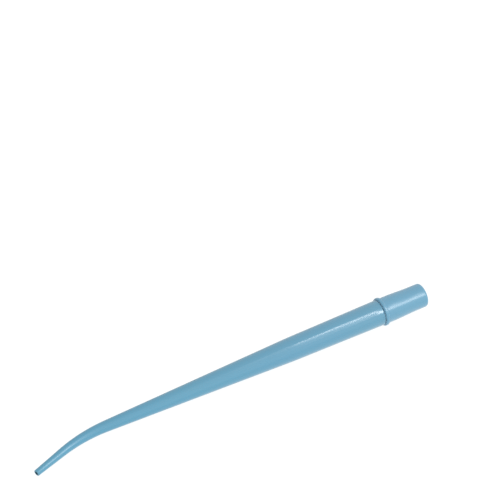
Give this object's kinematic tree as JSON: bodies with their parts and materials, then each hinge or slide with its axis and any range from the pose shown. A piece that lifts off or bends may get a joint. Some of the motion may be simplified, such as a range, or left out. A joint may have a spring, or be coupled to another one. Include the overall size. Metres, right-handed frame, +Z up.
{
  "type": "saliva ejector tip",
  "caption": "Light blue plastic suction tip: a long tapered tube with a fine bent nose, pushed by its stem into a collared plug for a suction hose valve.",
  "frame": {"origin": "on the barrel's axis, in the plane of the stop collar's rear face, where the collar meets the valve's mouth", "axes": "+X runs along the straight barrel towards the plug's free end, the mouth is at the -X end, the nose bends towards -Y in the XY plane, +Z is up with the tip lying flat"},
  "size_m": [0.1928, 0.0164, 0.013],
  "materials": {
    "cannula_plastic": "polished light blue polypropylene",
    "adapter_plastic": "satin light blue polypropylene"
  },
  "bodies": {
    "adapter": {"valve_adapter": "adapter_plastic"},
    "cannula": {"cannula": "cannula_plastic"}
  },
  "joints": [
    {"name": "cannula_pull", "type": "slide", "parent": "adapter", "child": "cannula", "axis": [-1, 0, 0], "range_m": [0, 0.022]}
  ]
}
